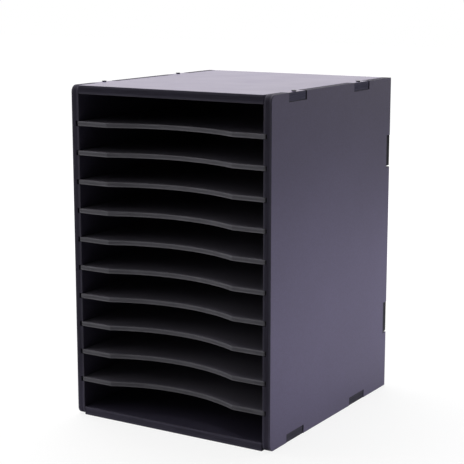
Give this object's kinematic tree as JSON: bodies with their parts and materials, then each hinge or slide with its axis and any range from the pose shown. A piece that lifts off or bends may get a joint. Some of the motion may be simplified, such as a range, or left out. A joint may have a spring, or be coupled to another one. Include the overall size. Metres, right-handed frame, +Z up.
{
  "type": "literature organizer",
  "caption": "Tall open-front organizer for letter-size sheets: a box of dark laminated board with thin pull-out shelves in grooves, their front edges scooped for the fingers.",
  "frame": {"origin": "middle of the footprint on the desk, at the underside of the organizer", "axes": "+X to the right of someone who faces the open slots, +Y to the back, +Z up"},
  "size_m": [0.27, 0.3, 0.4013],
  "materials": {
    "box_board": "fine-grained matt charcoal laminate on fibreboard, black edges",
    "shelf_board": "charcoal laminate on thin fibreboard, grey edges",
    "black_screw": "black-coated steel"
  },
  "bodies": {
    "box": {"left_side_panel": "box_board", "right_side_panel": "box_board", "top_panel": "box_board", "bottom_panel": "box_board", "back_panel": "box_board", "top_panel_screws": "black_screw", "bottom_panel_screws": "black_screw", "back_panel_screws": "black_screw"},
    "shelf_01": {"shelf_01": "shelf_board"},
    "shelf_02": {"shelf_02": "shelf_board"},
    "shelf_03": {"shelf_03": "shelf_board"},
    "shelf_04": {"shelf_04": "shelf_board"},
    "shelf_05": {"shelf_05": "shelf_board"},
    "shelf_06": {"shelf_06": "shelf_board"},
    "shelf_07": {"shelf_07": "shelf_board"},
    "shelf_08": {"shelf_08": "shelf_board"},
    "shelf_09": {"shelf_09": "shelf_board"},
    "shelf_10": {"shelf_10": "shelf_board"}
  },
  "joints": [
    {"name": "shelf_01_slide", "type": "slide", "parent": "box", "child": "shelf_01", "axis": [0, -1, 0], "range_m": [0, 0.3]},
    {"name": "shelf_02_slide", "type": "slide", "parent": "box", "child": "shelf_02", "axis": [0, -1, 0], "range_m": [0, 0.3]},
    {"name": "shelf_03_slide", "type": "slide", "parent": "box", "child": "shelf_03", "axis": [0, -1, 0], "range_m": [0, 0.3]},
    {"name": "shelf_04_slide", "type": "slide", "parent": "box", "child": "shelf_04", "axis": [0, -1, 0], "range_m": [0, 0.3]},
    {"name": "shelf_05_slide", "type": "slide", "parent": "box", "child": "shelf_05", "axis": [0, -1, 0], "range_m": [0, 0.3]},
    {"name": "shelf_06_slide", "type": "slide", "parent": "box", "child": "shelf_06", "axis": [0, -1, 0], "range_m": [0, 0.3]},
    {"name": "shelf_07_slide", "type": "slide", "parent": "box", "child": "shelf_07", "axis": [0, -1, 0], "range_m": [0, 0.3]},
    {"name": "shelf_08_slide", "type": "slide", "parent": "box", "child": "shelf_08", "axis": [0, -1, 0], "range_m": [0, 0.3]},
    {"name": "shelf_09_slide", "type": "slide", "parent": "box", "child": "shelf_09", "axis": [0, -1, 0], "range_m": [0, 0.3]},
    {"name": "shelf_10_slide", "type": "slide", "parent": "box", "child": "shelf_10", "axis": [0, -1, 0], "range_m": [0, 0.3]}
  ]
}
